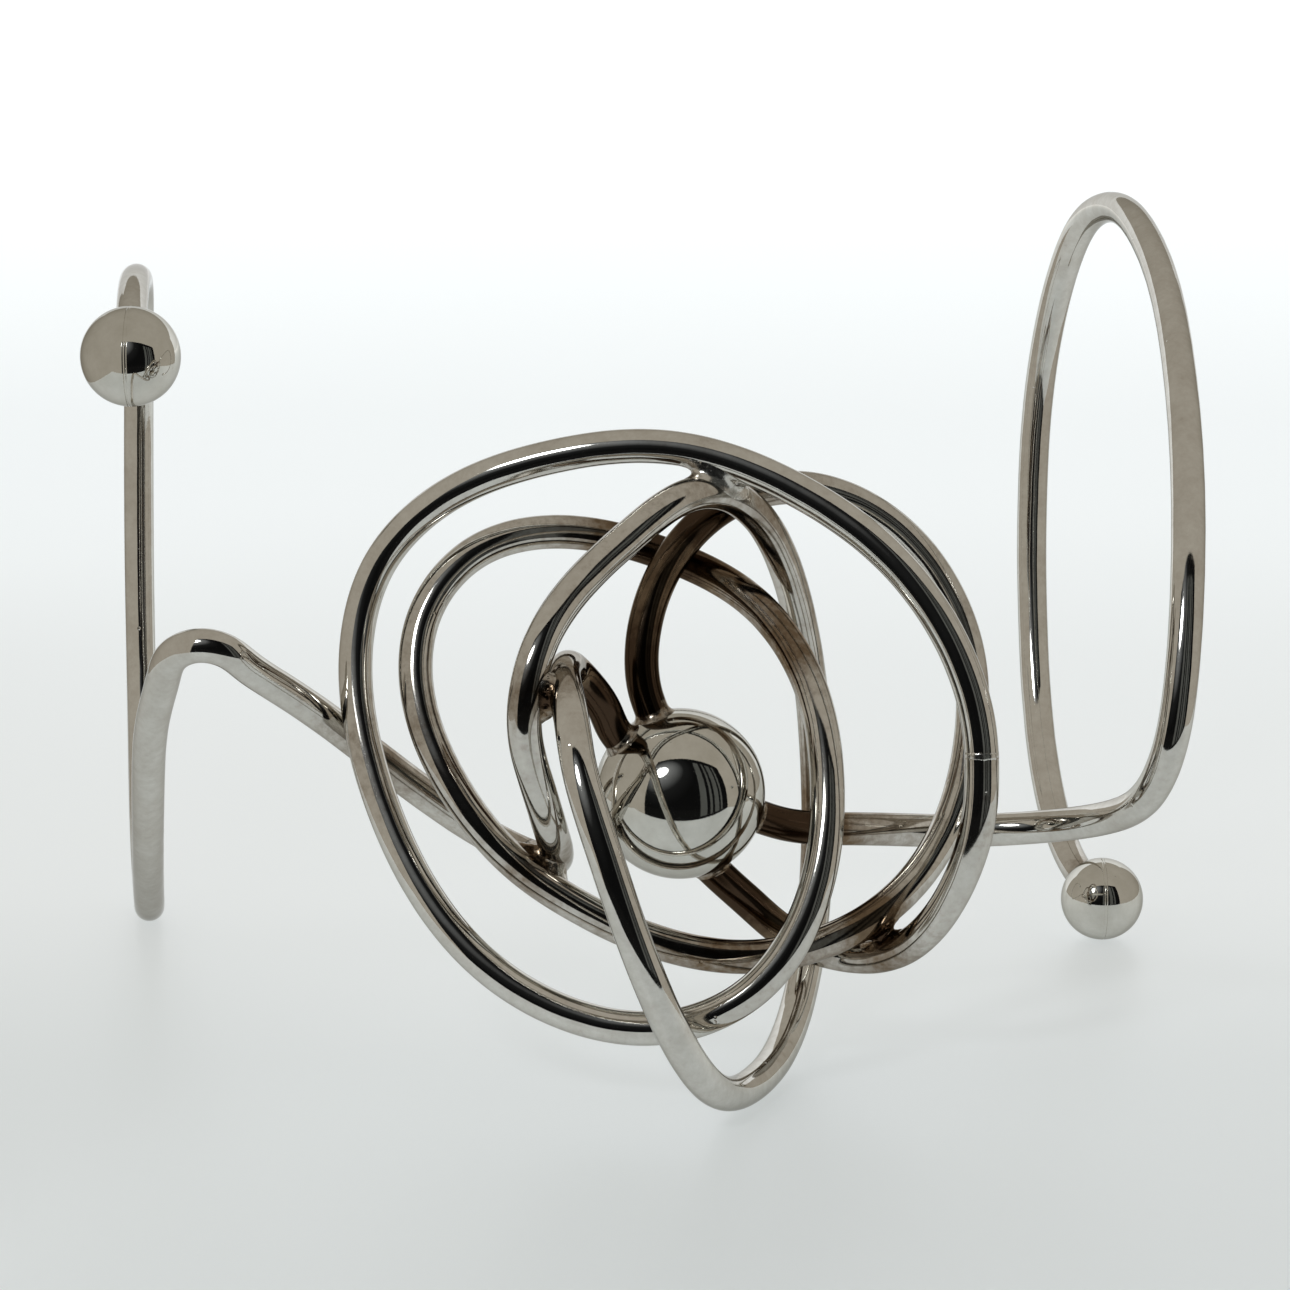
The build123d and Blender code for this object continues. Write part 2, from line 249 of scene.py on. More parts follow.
def wire_piece(name, material):
    """A closed round tube along its route."""
    route, first, last, tarnish = WIRES[name]
    places, ways, along = centreline(route, first, last, WIRE_STEP)
    across, over = frames(ways)
    angle = np.linspace(0, 2 * math.pi, WIRE_SIDES, endpoint=False)
    radius = WIRE_RADIUS + hand_made(along, angle, name)
    ring = np.cos(angle)[None, :, None] * across[:, None, :]
    ring = ring + np.sin(angle)[None, :, None] * over[:, None, :]
    points = (places[:, None, :] + ring * radius[:, :, None]).reshape(-1, 3)
    count = len(places)
    faces = []
    for i in range(count - 1):
        for j in range(WIRE_SIDES):
            k = (j + 1) % WIRE_SIDES
            low, high = i * WIRE_SIDES, (i + 1) * WIRE_SIDES
            faces.append((low + j, low + k, high + k, high + j))
    start, end = len(points), len(points) + 1
    points = np.vstack([points, places[:1], places[-1:]])
    last_ring = (count - 1) * WIRE_SIDES
    for j in range(WIRE_SIDES):
        k = (j + 1) % WIRE_SIDES
        faces.append((start, k, j))
        faces.append((end, last_ring + j, last_ring + k))
    piece = add_object("bent_" + name, points, faces, material, name)
    layer = piece.data.uv_layers.new(name="along_wire")
    uv = np.zeros((len(piece.data.loops), 2), np.float32)
    ring_of = np.zeros(len(piece.data.loops), int)
    piece.data.loops.foreach_get("vertex_index", ring_of)
    on_tube = ring_of < start
    uv[:, 0] = np.where(on_tube, along[np.minimum(ring_of // WIRE_SIDES, count - 1)] / MM, 0)
    uv[:, 1] = np.where(on_tube, (ring_of % WIRE_SIDES) / WIRE_SIDES, 0)
    quads = (count - 1) * WIRE_SIDES
    corner = uv[: quads * 4].reshape(quads, 4, 2)
    wraps = (corner[:, :, 1].max(1) - corner[:, :, 1].min(1)) > 0.5
    corner[:, :, 1] += (wraps[:, None] & (corner[:, :, 1] < 0.5)).astype(np.float32)
    layer.data.foreach_set("uv", uv.ravel())
    stain = np.full((count, WIRE_SIDES), tarnish)
    for joint, reach, strength in SOOT:
        away = np.linalg.norm(places - np.array(joint) * MM, axis=1) / MM
        stain += strength * np.exp(-((away / reach) ** 2))[:, None]
    add_values(piece, "stain", np.append(stain.ravel(), [1, 1]))
    return piece


# Where the torch left the silver dark: place, reach in millimetres, and how dark.
SOOT = [
    ((6.0, -19.6, 53.0), 2.2, 0.25),
    ((-6.6, -33.0, 36.6), 2.4, 0.40),
    ((-7.2, -25.2, 20.0), 2.6, 0.35),
    ((22.6, -22.6, 12.3), 3.6, 0.40),
    ((-1.5, -24.4, 33.2), 4.2, 0.75),
    ((1.8, -21.4, 36.0), 9.0, 0.60),
    ((8.0, -12.4, 47.8), 4.5, 0.45),
    (HIDDEN_JOINT, 7.0, 0.60),
    ((14.5, -18.0, 37.5), 6.0, 0.40),
    ((9.5, -21.2, 17.2), 8.0, 0.70),
    ((13.5, -18.8, 21.8), 6.0, 0.55),
    ((17.4, -9.8, 20.0), 9.0, 0.35),
    ((45.4, 18.4, 4.7), 2.5, 0.25),
    (CORNER_JOINT, 5.0, 0.30),
    ((-22.0, -15.4, 26.6), 8.0, 0.30),
]


# ---------------------------------------------------------------- balls

def revolve(profile, centre, axis, sides, closed):
    """Turns a profile of (height along the axis, distance from it) into points and faces."""
    up = unit(axis)
    across = unit(np.cross(up, (0.31, 0.17, 0.93)))
    over = np.cross(up, across)
    centre = np.array(centre, float)
    points, rings = [], []
    for height, distance in profile:
        at = centre + up * height
        if distance < 1e-9:
            rings.append([len(points)])
            points.append(at)
            continue
        rings.append(list(range(len(points), len(points) + sides)))
        for j in range(sides):
            turn = 2 * math.pi * j / sides
            points.append(at + distance * (math.cos(turn) * across + math.sin(turn) * over))
    faces = []
    pairs = list(zip(rings, rings[1:]))
    if closed:
        pairs.append((rings[-1], rings[0]))
    for a, b in pairs:
        for j in range(sides):
            k = (j + 1) % sides
            if len(a) == 1:
                faces.append((a[0], b[k], b[j]))
            elif len(b) == 1:
                faces.append((a[j], a[k], b[0]))
            else:
                faces.append((a[j], a[k], b[k], b[j]))
    return points, faces


def shell_profile(radius, hole):
    """Half of a hollow ball, from its pole or its hole down to the seam and back inside."""
    steps = 72
    edge = SEAM_WIDTH / 2
    round_over = 0.004 * MM
    inner = radius - BALL_WALL
    profile = []
    top, bottom = math.asin(hole / radius), math.acos((edge + round_over) / radius)
    for i in range(steps + 1):
        turn = top + (bottom - top) * i / steps
        profile.append((radius * math.cos(turn), radius * math.sin(turn)))
    profile.append((edge, radius - round_over))
    top, bottom = math.asin(hole / inner), math.acos(edge / inner)
    for i in range(steps // 2 + 1):
        turn = bottom + (top - bottom) * i / (steps // 2)
        profile.append((inner * math.cos(turn), inner * math.sin(turn)))
    return profile


def out_of_true(points, centre):
    """Moves points very slightly in and out from a centre, as on a ball pressed by hand."""
    moved = []
    for p in points:
        wave = noise.noise(Vector(p / BALL_WAVE_LENGTH)) * BALL_WAVE_HEIGHT
        moved.append(p + unit(p - centre) * wave)
    return moved


def half_shell(node, centre, radius, axis, material, hole=0.0):
    """One pressed half of a ball."""
    centre = np.array(centre) * MM
    points, faces = revolve(shell_profile(radius, hole), centre, axis, BALL_SIDES, hole > 0)
    moved = out_of_true(points, centre)
    return add_object("polished_" + node, moved, faces, material, node)


def seam_ring(node, centre, radius, axis, material):
    """The thin ring of solder between two half shells, filed flush with them."""
    centre = np.array(centre) * MM
    half = SEAM_WIDTH / 2
    inner = radius - BALL_WALL
    sunk = math.sqrt(radius**2 - half**2) - 0.002 * MM
    profile = [(-half, inner), (half, inner), (half, sunk), (0.0, radius - 0.001 * MM), (-half, sunk)]
    points, faces = revolve(profile, centre, axis, SEAM_SIDES, True)
    moved = out_of_true(points, centre)
    return add_object("filed_" + node, moved, faces, material, node)


# ---------------------------------------------------------------- solder

def strands_near(centre, reach, names):
    """Each separate stretch of wire that passes within reach of a place."""
    found = []
    for name in names:
        places, ways = LINES[name]
        near = np.linalg.norm(places - centre, axis=1) < reach
        edges = np.flatnonzero(np.diff(np.concatenate([[0], near.astype(int), [0]])))
        for start, stop in zip(edges[::2], edges[1::2]):
            if stop - start > 3:
                found.append((places[start:stop], ways[start:stop]))
    return found


def to_strand(points, strand):
    """Distance from points to the surface of a stretch of wire."""
    places, ways = strand
    best = np.full(len(points), 1e9)
    for place, way in zip(places, ways):
        away = points - place
        along = away @ way
        square = np.einsum("ij,ij->i", away, away)
        beside = np.maximum(square - along**2, 0)
        past = np.maximum(np.abs(along) - 0.2 * MM, 0)
        best = np.minimum(best, beside + past**2)
    return np.sqrt(best) - WIRE_RADIUS


def to_bead(points, centre, direction, length, radius):
    """Distance from points to a rod with round ends."""
    away = points - centre
    along = np.clip(away @ direction, -length / 2, length / 2)
    return np.linalg.norm(away - along[:, None] * direction, axis=1) - radius


def softly_least(values, blend):
    """The least of several distances, rounded where two are alike, as liquid metal pulls in."""
    least = values[0]
    for value in values[1:]:
        near = np.maximum(blend - np.abs(least - value), 0) / blend
        least = np.minimum(least, value) - near**2 * blend / 4
    return least


def solder_field(job):
    """The function that is zero on the solder's surface."""
    centre = np.array(job["centre"]) * MM
    direction = unit(job["direction"])
    length, radius = job["length"] * MM, job["radius"] * MM
    reach, blend = job["reach"] * MM, job["blend"] * MM
    strands = strands_near(centre, reach + 4 * MM, job["wires"])
    balls = job.get("balls", [])

    def metal(points):
        """Distance to each piece of metal that the solder joins."""
        values = [to_strand(points, strand) for strand in strands]
        for place, size in balls:
            values.append(np.linalg.norm(points - np.array(place) * MM, axis=1) - size)
        return values

    def field(points):
        values = metal(points)
        if radius > 0:
            values.append(to_bead(points, centre, direction, length, radius))
        spread = to_bead(points, centre, direction, length, 0.0) - reach
        fade = np.clip(spread / (1.2 * MM) + 1, 0, 1)
        fade = fade * fade * (3 - 2 * fade)
        past = np.maximum(spread, 0)
        return softly_least(values, blend) + 0.012 * MM + 0.35 * MM * fade + 3 * past

    def depth(points):
        """How far the solder's surface stands from the nearest metal."""
        return np.min(metal(points), axis=0)

    return field, depth, centre, reach + length / 2 + 0.9 * MM


def surface(field, centre, reach, cell):
    """A closed mesh of quads where the field is zero: one point in each grid cell it crosses."""
    count = int(2 * reach / cell) + 2
    line = (np.arange(count) - (count - 1) / 2) * cell
    grid = np.stack(np.meshgrid(line, line, line, indexing="ij"), axis=-1) + centre
    values = field(grid.reshape(-1, 3)).reshape(count, count, count)
    inside = values < 0
    total = np.zeros((count - 1, count - 1, count - 1, 3))
    hits = np.zeros((count - 1,) * 3)
    where = np.indices((count,) * 3).astype(float)
    crossings = []
    for axis in range(3):
        low = [slice(None)] * 3
        high = [slice(None)] * 3
        low[axis], high[axis] = slice(0, -1), slice(1, None)
        low, high = tuple(low), tuple(high)
        crossed = inside[low] != inside[high]
        share = np.where(crossed, values[low] / np.where(crossed, values[low] - values[high], 1), 0)
        crossings.append((crossed, inside[low]))
        for u in (0, 1):
            for v in (0, 1):
                part = [slice(u, u + count - 1), slice(v, v + count - 1)]
                part.insert(axis, slice(None))
                part = tuple(part)
                mask = crossed[part]
                for k in range(3):
                    place = where[k][low][part] + (share[part] if k == axis else 0)
                    total[..., k] += np.where(mask, place, 0)
                hits += mask
    used = hits > 0
    index = np.full(used.shape, -1)
    index[used] = np.arange(used.sum())
    points = total[used] / hits[used][:, None] * cell + (centre + line[0])
    faces = []
    for axis, (crossed, low_inside) in enumerate(crossings):
        others = [k for k in range(3) if k != axis]
        for at in np.argwhere(crossed):
            if min(at[others[0]], at[others[1]]) < 1 or max(at[others[0]], at[others[1]]) > count - 2:
                continue
            ring = []
            for u, v in ((1, 1), (0, 1), (0, 0), (1, 0)):
                spot = at.copy()
                spot[others[0]] -= u
                spot[others[1]] -= v
                ring.append(int(index[tuple(spot)]))
            if low_inside[tuple(at)] == (axis == 1):
                ring.reverse()
            faces.append(tuple(ring))
    return points, faces


def slope_of(field, points):
    """Which way, and how fast, the field grows at each point."""
    tiny = 0.02 * MM
    parts = []
    for k in range(3):
        step = np.zeros(3)
        step[k] = tiny
        parts.append((field(points + step) - field(points - step)) / (2 * tiny))
    return np.stack(parts, axis=-1)


def solder_piece(node, job, material):
    """A fillet of solder that has run between wires, with the lumps and pits that it set with."""
    field, depth, centre, reach = solder_field(job)
    points, faces = surface(field, centre, reach, FIELD_CELL)
    for _ in range(2):
        slope = slope_of(field, points)
        square = np.maximum(np.einsum("ij,ij->i", slope, slope), 1e-6)
        points = points - slope * np.clip(field(points) / square, -FIELD_CELL, FIELD_CELL)[:, None]
    outward = slope / np.linalg.norm(slope, axis=1)[:, None]
    lump = job.get("lump", 0.03) * MM
    pit = job.get("pit", 0.0) * MM
    rises, stains = [], []
    middle = np.array(job.get("pit_at", job["centre"])) * MM
    room = np.clip(depth(points) / (0.25 * MM), 0, 1)
    for p, share in zip(points, room):
        rise = lump * noise.fractal(Vector(p / (1.1 * MM)), 0.9, 2.0, 3)
        near = math.exp(-(np.linalg.norm(p - middle) / (job.get("spread", 1.3) * MM)) ** 2)
        cells = noise.voronoi(Vector(p / (0.62 * MM)))[0]
        hollow = near * max(0.0, 1 - cells[0] * 2.2)
        rises.append(share * (rise - pit * hollow))
        stains.append(job.get("stain", 0.25) + 0.55 * near + 0.6 * hollow)
    points = points + outward * np.array(rises)[:, None]
    piece = add_object("run_" + node, points, faces, material, node)
    add_values(piece, "stain", stains)
    return piece


def butt_seam(node, joint, direction, material):
    """The ring of solder between two wire ends, filed nearly flush."""
    half = SEAM_WIDTH / 2
    proud = WIRE_RADIUS + BUTT_PROUD
    low = WIRE_RADIUS - BUTT_SUNK
    shoulder = proud - BUTT_ROUNDING
    profile = [(-3 * half, 0.0), (-3 * half, low), (-half, shoulder), (0.0, proud)]
    profile += [(half, shoulder), (3 * half, low), (3 * half, 0.0)]
    centre = np.array(joint) * MM
    points, faces = revolve(profile, centre, direction, BUTT_SIDES, False)
    moved = []
    for p in points:
        away = p - centre
        size = np.linalg.norm(away)
        rough = noise.fractal(Vector(p / (0.4 * MM)), 0.8, 2.0, 3) * BUTT_ROUGHNESS
        moved.append(p + away / size * rough if size > 0.8 * WIRE_RADIUS else p)
    piece = add_object("filed_" + node, moved, faces, material, node)
    add_values(piece, "stain", [0.20] * len(moved))
    return piece


CENTRE = [(CENTRE_BALL, CENTRE_BALL_RADIUS)]
SOLDER = {
    "top_solder": dict(
        centre=(8.0, -18.4, 52.6), direction=(0.93, 0.10, -0.30), length=4.0, radius=0.0,
        reach=2.6, blend=1.7, wires=["outer_orbit_wire", "tall_orbit_wire"],
        lump=0.01, pit=0.12, pit_at=(5.4, -20.0, 52.8), spread=0.9, stain=0.26,
    ),
    "hook_solder": dict(
        centre=(-6.5, -32.9, 36.4), direction=(0.10, -0.20, 1.0), length=2.0, radius=0.7,
        reach=2.0, blend=1.3, wires=["tall_orbit_wire"],
        lump=0.05, pit=0.40, pit_at=(-6.7, -34.0, 36.4), spread=1.5, stain=0.50,
    ),
    "corner_solder": dict(
        centre=(-7.6, -24.3, 19.2), direction=(0.80, 0.0, -0.60), length=3.2, radius=0.9,
        reach=2.5, blend=1.5, wires=["tall_orbit_wire", "inner_orbit_wire", "left_cuff_wire"],
        lump=0.12, pit=0.30, pit_at=(-8.4, -25.6, 20.0), spread=1.9, stain=0.45,
    ),
    "lower_solder": dict(
        centre=(22.6, -22.5, 12.3), direction=(0.75, -0.15, 0.50), length=2.2, radius=0.0,
        reach=2.2, blend=1.7, wires=["inner_orbit_wire", "stem_wire"],
        lump=0.10, pit=0.25, pit_at=(22.0, -23.6, 12.6), spread=1.8, stain=0.62,
    ),
    "hook_end_solder": dict(
        centre=(-0.2, -23.3, 30.5), direction=(1, 0, 0), length=0.0, radius=0.0,
        reach=2.9, blend=0.75, stain=0.55, wires=["tall_orbit_wire"], balls=CENTRE,
    ),
    "orbit_end_solder": dict(
        centre=(2.5, -21.9, 32.2), direction=(1, 0, 0), length=0.0, radius=0.0,
        reach=2.9, blend=0.75, stain=0.55, wires=["inner_orbit_wire"], balls=CENTRE,
    ),
    "stem_end_solder": dict(
        centre=(7.7, -21.5, 18.2), direction=(1, 0, 0), length=0.0, radius=0.0,
        reach=2.9, blend=0.75, stain=0.55, wires=["stem_wire"], balls=CENTRE,
    ),
    "right_arm_solder": dict(
        centre=(11.6, -19.9, 22.7), direction=(1, 0, 0), length=0.0, radius=0.0,
        reach=2.9, blend=0.75, stain=0.55, wires=["right_cuff_wire"], balls=CENTRE,
    ),
    "left_ball_solder": dict(
        centre=(-46.7, 14.4, 60.4), direction=(1, 0, 0), length=0.0, radius=0.0,
        reach=2.7, blend=0.6, stain=0.30, wires=["left_cuff_wire"], balls=[(LEFT_BALL, LEFT_BALL_RADIUS)],
    ),
    "right_ball_solder": dict(
        centre=(45.2, 19.1, 4.9), direction=(1, 0, 0), length=0.0, radius=0.0,
        reach=2.7, blend=0.6, stain=0.30, wires=["right_cuff_wire"], balls=[(RIGHT_BALL, RIGHT_BALL_RADIUS)],
    ),
}


# ---------------------------------------------------------------- materials

def new_material(name):
    material = bpy.data.materials.new(name)
    material.use_nodes = True
    tree = material.node_tree
    shader = tree.nodes["Principled BSDF"]
    shader.inputs["Metallic"].default_value = 1.0
    shader.inputs["Specular Tint"].default_value = (*GRAZING, 1)
    return material, tree, shader


def link(tree, source, target):
    tree.links.new(source, target)


def noise_node(tree, coordinate, scale, detail=3.0, rough=0.55, stretch=None):
    """A noise pattern, its scale in waves per metre, or stretched along one direction."""
    node = tree.nodes.new("ShaderNodeTexNoise")
    node.inputs["Scale"].default_value = scale
    node.inputs["Detail"].default_value = detail
    node.inputs["Roughness"].default_value = rough
    if stretch:
        mapping = tree.nodes.new("ShaderNodeMapping")
        mapping.inputs["Scale"].default_value = stretch
        link(tree, coordinate, mapping.inputs["Vector"])
        coordinate = mapping.outputs["Vector"]
    link(tree, coordinate, node.inputs["Vector"])
    return node.outputs["Fac"]


def ramp(tree, value, stops):
    node = tree.nodes.new("ShaderNodeValToRGB")
    points = node.color_ramp.elements
    while len(points) < len(stops):
        points.new(0.5)
    for point, (place, colour) in zip(points, stops):
        point.position = place
        point.color = (*colour, 1) if len(colour) == 3 else colour
    link(tree, value, node.inputs["Fac"])
    return node.outputs["Color"]


def spread(tree, value, low, high, to_low, to_high):
    """Maps a value from one range to another, clamped."""
    node = tree.nodes.new("ShaderNodeMapRange")
    node.inputs["From Min"].default_value = low
    node.inputs["From Max"].default_value = high
    node.inputs["To Min"].default_value = to_low
    node.inputs["To Max"].default_value = to_high
    link(tree, value, node.inputs["Value"])
    return node.outputs["Result"]


def maths(tree, operation, a, b):
    node = tree.nodes.new("ShaderNodeMath")
    node.operation = operation
    for socket, value in zip(node.inputs, (a, b)):
        if isinstance(value, (int, float)):
            socket.default_value = value
        else:
            link(tree, value, socket)
    return node.outputs["Value"]


def bump(tree, height, distance, strength, under=None):
    node = tree.nodes.new("ShaderNodeBump")
    node.inputs["Distance"].default_value = distance
    node.inputs["Strength"].default_value = strength
    link(tree, height, node.inputs["Height"])
    if under is not None:
        link(tree, under, node.inputs["Normal"])
    return node.outputs["Normal"]


SILVER = (0.72, 0.71, 0.67)
GREY_SILVER = (0.60, 0.575, 0.53)
BROWN = (0.20, 0.145, 0.095)
DARK_BROWN = (0.060, 0.038, 0.024)
GRAZING = (0.55, 0.54, 0.52)       # how much a worn surface mirrors at a low angle


def pits(tree, place, scale, size, amount):
    """Rare round pits: one in some of the cells of a grid."""
    cells = tree.nodes.new("ShaderNodeTexVoronoi")
    cells.inputs["Scale"].default_value = scale
    link(tree, place, cells.inputs["Vector"])
    hole = spread(tree, cells.outputs["Distance"], size * 0.4, size, 1.0, 0.0)
    colour = tree.nodes.new("ShaderNodeSeparateColor")
    link(tree, cells.outputs["Color"], colour.inputs["Color"])
    rare = maths(tree, "LESS_THAN", colour.outputs["Red"], amount)
    return maths(tree, "MULTIPLY", hole, rare)


def silver_wire():
    """Polished drawn silver wire: lines along it, fine scratches, and brown tarnish in patches."""
    material, tree, shader = new_material("polished_silver_wire")
    along = tree.nodes.new("ShaderNodeUVMap")
    along.uv_map = "along_wire"
    place = tree.nodes.new("ShaderNodeTexCoord").outputs["Object"]
    stain = tree.nodes.new("ShaderNodeAttribute")
    stain.attribute_name = "stain"
    cloud = noise_node(tree, place, 330.0, 4.0, 0.6)
    mottle = noise_node(tree, place, 1500.0, 5.0, 0.65)
    lines = noise_node(tree, along.outputs["UV"], 1.0, 3.0, 0.6, stretch=(0.22, 34.0, 1.0))
    short = noise_node(tree, along.outputs["UV"], 1.0, 2.0, 0.5, stretch=(1.3, 60.0, 1.0))
    cover = maths(tree, "ADD", stain.outputs["Fac"], spread(tree, cloud, 0.3, 0.75, -0.10, 0.12))
    cover = maths(tree, "ADD", cover, spread(tree, mottle, 0.35, 0.8, -0.05, 0.12))
    colour = ramp(tree, cover, [
        (0.0, SILVER), (0.25, GREY_SILVER), (0.60, BROWN), (0.90, DARK_BROWN),
    ])
    link(tree, colour, shader.inputs["Base Color"])
    rough = spread(tree, cover, 0.1, 1.0, 0.05, 0.15)
    rough = maths(tree, "ADD", rough, spread(tree, short, 0.55, 0.8, 0.0, 0.06))
    link(tree, rough, shader.inputs["Roughness"])
    hole = pits(tree, place, 900.0, 0.16, 0.05)
    normal = bump(tree, lines, 0.0010 * MM, 0.5)
    normal = bump(tree, mottle, 0.004 * MM, 0.5, normal)
    normal = bump(tree, maths(tree, "SUBTRACT", 1.0, hole), 0.03 * MM, 0.8, normal)
    link(tree, normal, shader.inputs["Normal"])
    return material


def silver_ball():
    """A mirror: faint cloudy wear, hairlines and a few pits."""
    material, tree, shader = new_material("polished_silver_ball")
    place = tree.nodes.new("ShaderNodeTexCoord").outputs["Object"]
    cloud = noise_node(tree, place, 420.0, 5.0, 0.65)
    fine = noise_node(tree, place, 2600.0, 4.0, 0.7)
    hairs = noise_node(tree, place, 1.0, 2.0, 0.5, stretch=(900.0, 7000.0, 5200.0))
    colour = ramp(tree, cloud, [(0.30, (0.68, 0.67, 0.625)), (0.70, (0.58, 0.565, 0.515))])
    link(tree, colour, shader.inputs["Base Color"])
    rough = spread(tree, cloud, 0.35, 0.8, 0.015, 0.075)
    rough = maths(tree, "ADD", rough, spread(tree, hairs, 0.58, 0.8, 0.0, 0.08))
    link(tree, rough, shader.inputs["Roughness"])
    hole = pits(tree, place, 760.0, 0.11, 0.10)
    normal = bump(tree, fine, 0.003 * MM, 0.5)
    normal = bump(tree, maths(tree, "SUBTRACT", 1.0, hole), 0.04 * MM, 0.9, normal)
    link(tree, normal, shader.inputs["Normal"])
    return material


def silver_solder():
    """Solder: grey, lumpy and pitted, with flux and firescale burnt brown into it."""
    material, tree, shader = new_material("silver_solder_fillet")
    place = tree.nodes.new("ShaderNodeTexCoord").outputs["Object"]
    stain = tree.nodes.new("ShaderNodeAttribute")
    stain.attribute_name = "stain"
    cloud = noise_node(tree, place, 900.0, 4.0, 0.6)
    grain = noise_node(tree, place, 3800.0, 3.0, 0.7)
    cover = maths(tree, "ADD", stain.outputs["Fac"], spread(tree, cloud, 0.3, 0.75, -0.20, 0.20))
    colour = ramp(tree, cover, [
        (0.0, SILVER), (0.35, GREY_SILVER), (0.75, BROWN), (1.0, DARK_BROWN),
    ])
    link(tree, colour, shader.inputs["Base Color"])
    link(tree, spread(tree, grain, 0.3, 0.8, 0.10, 0.34), shader.inputs["Roughness"])
    hole = pits(tree, place, 1400.0, 0.25, 0.25)
    normal = bump(tree, grain, 0.02 * MM, 0.6)
    normal = bump(tree, maths(tree, "SUBTRACT", 1.0, hole), 0.06 * MM, 0.8, normal)
    link(tree, normal, shader.inputs["Normal"])
    return material


# ---------------------------------------------------------------- studio

WALL = (0.44, 0.41, 0.355)
BACK = (1.10, 1.12, 1.13)
FOLD = (0.10, 0.105, 0.10)


def glowing(name, colour):
    """A card that gives off one even colour."""
    material = bpy.data.materials.new(name)
    material.use_nodes = True
    tree = material.node_tree
    tree.nodes.clear()
    out = tree.nodes.new("ShaderNodeOutputMaterial")
    glow = tree.nodes.new("ShaderNodeEmission")
    glow.inputs["Color"].default_value = (*colour, 1)
    link(tree, glow.outputs["Emission"], out.inputs["Surface"])
    return material


def lamp_in_dark_room(centre):
    """A dark wall with one round soft lamp on it, and the lamp's glow round it."""
    material = glowing("dark_room", (0.93, 0.97, 1.0))
    tree = material.node_tree
    glow = next(n for n in tree.nodes if n.type == "EMISSION")
    place = tree.nodes.new("ShaderNodeTexCoord").outputs["Object"]
    away = tree.nodes.new("ShaderNodeVectorMath")
    away.operation = "DISTANCE"
    away.inputs[1].default_value = [c * MM for c in centre]
    link(tree, place, away.inputs[0])
    distance = away.outputs["Value"]
    lamp = spread(tree, distance, 0.018, 0.052, 24.0, 0.0)
    halo = spread(tree, distance, 0.030, 0.150, 0.30, 0.0)
    haze = spread(tree, distance, 0.050, 0.220, 0.030, 0.006)
    total = maths(tree, "ADD", maths(tree, "ADD", lamp, halo), haze)
    link(tree, total, glow.inputs["Strength"])
    return material


def card(name, corners, material):
    """A flat card of the light tent. The camera looks through it; the silver mirrors it."""
    mesh = bpy.data.meshes.new(name)
    mesh.from_pydata([tuple(c * MM for c in corner) for corner in corners], [], [(0, 1, 2, 3)])
    mesh.materials.append(material)
    piece = bpy.data.objects.new(name, mesh)
    bpy.context.scene.collection.objects.link(piece)
    piece.visible_camera = False
    return piece


def upright(name, left, right, low, high, depth, material):
    """A card that faces along Y."""
    corners = [(left, depth, low), (right, depth, low), (right, depth, high), (left, depth, high)]
    return card(name, corners, material)


def light_tent():
    """A small grey tent, open at the back, with an opening in front and a dark room beyond it."""
    wall = glowing("tent_wall", WALL)
    fold = glowing("curtain_fold", FOLD)
    left, right = -125.0, 150.0
    front, back, far = -90.0, 165.0, -222.0
    opening, lintel, roof, eaves = -66.0, 150.0, 300.0, 128.0
    ridge = 60.0
    low = 0.5
    upright("tent_front", left, opening, low, roof, front, wall)
    upright("tent_lintel", opening, right, lintel, roof, front, wall)
    for name, side in (("tent_left", left), ("tent_right", right)):
        corners = [(side, front, low), (side, back, low), (side, back, roof), (side, front, roof)]
        card(name, corners, wall)
    card("tent_roof", [(left, front, roof), (right, front, roof), (right, ridge, roof),
                       (left, ridge, roof)], wall)
    card("tent_eaves", [(left, ridge, roof), (right, ridge, roof), (right, back, eaves),
                        (left, back, eaves)], wall)
    lamp_centre = (-123.0, far, 232.0)
    room = lamp_in_dark_room(lamp_centre)
    upright("room_wall", -900, 900, low, 900, far, room)
    dark = card("room_floor", [(-900, far, low), (900, far, low), (900, front, low),
                               (-900, front, low)], glowing("dark_floor", (0.008, 0.008, 0.008)))
    dark.visible_shadow = False
    dark.visible_diffuse = False
    for i, (start, width) in enumerate(((40, 15), (64, 7), (79, 18), (106, 10))):
        upright(f"curtain_{i}", start, start + width, 4, lintel - 14, front - 4, fold)


def bright_world():
    """Everything outside the tent is an even white."""
    world = bpy.data.worlds.new("white_room")
    bpy.context.scene.world = world
    world.use_nodes = True
    world.node_tree.nodes["Background"].inputs["Color"].default_value = (*BACK, 1)


